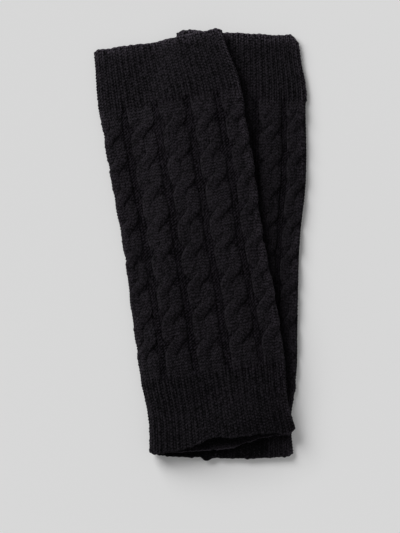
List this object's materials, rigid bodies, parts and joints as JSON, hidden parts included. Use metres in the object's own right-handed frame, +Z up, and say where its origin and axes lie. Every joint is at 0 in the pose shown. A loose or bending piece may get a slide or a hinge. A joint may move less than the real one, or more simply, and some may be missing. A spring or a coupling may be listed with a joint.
{
  "type": "pair of cable knit leg warmers",
  "caption": "Pair of footless knitted tubes, cabled between ribbed cuffs, laid flat and fanned one over the other.",
  "frame": {"origin": "on the surface that the pair lies on, under the middle of the pair's outline", "axes": "+Z up from the surface, +Y towards the upper hems, +X to the right seen from above with the upper hems away"},
  "size_m": [0.2071, 0.4148, 0.0231],
  "materials": {
    "rib_wool": "matte, soft, slightly fuzzy 1x1 rib knit in black wool",
    "cable_wool": "matte, soft, slightly fuzzy cable knit in black wool"
  },
  "bodies": {
    "root": {"over_upper_cuff": "rib_wool", "over_leg": "cable_wool", "over_lower_cuff": "rib_wool", "under_upper_cuff": "rib_wool", "under_leg": "cable_wool", "under_lower_cuff": "rib_wool"}
  },
  "joints": []
}
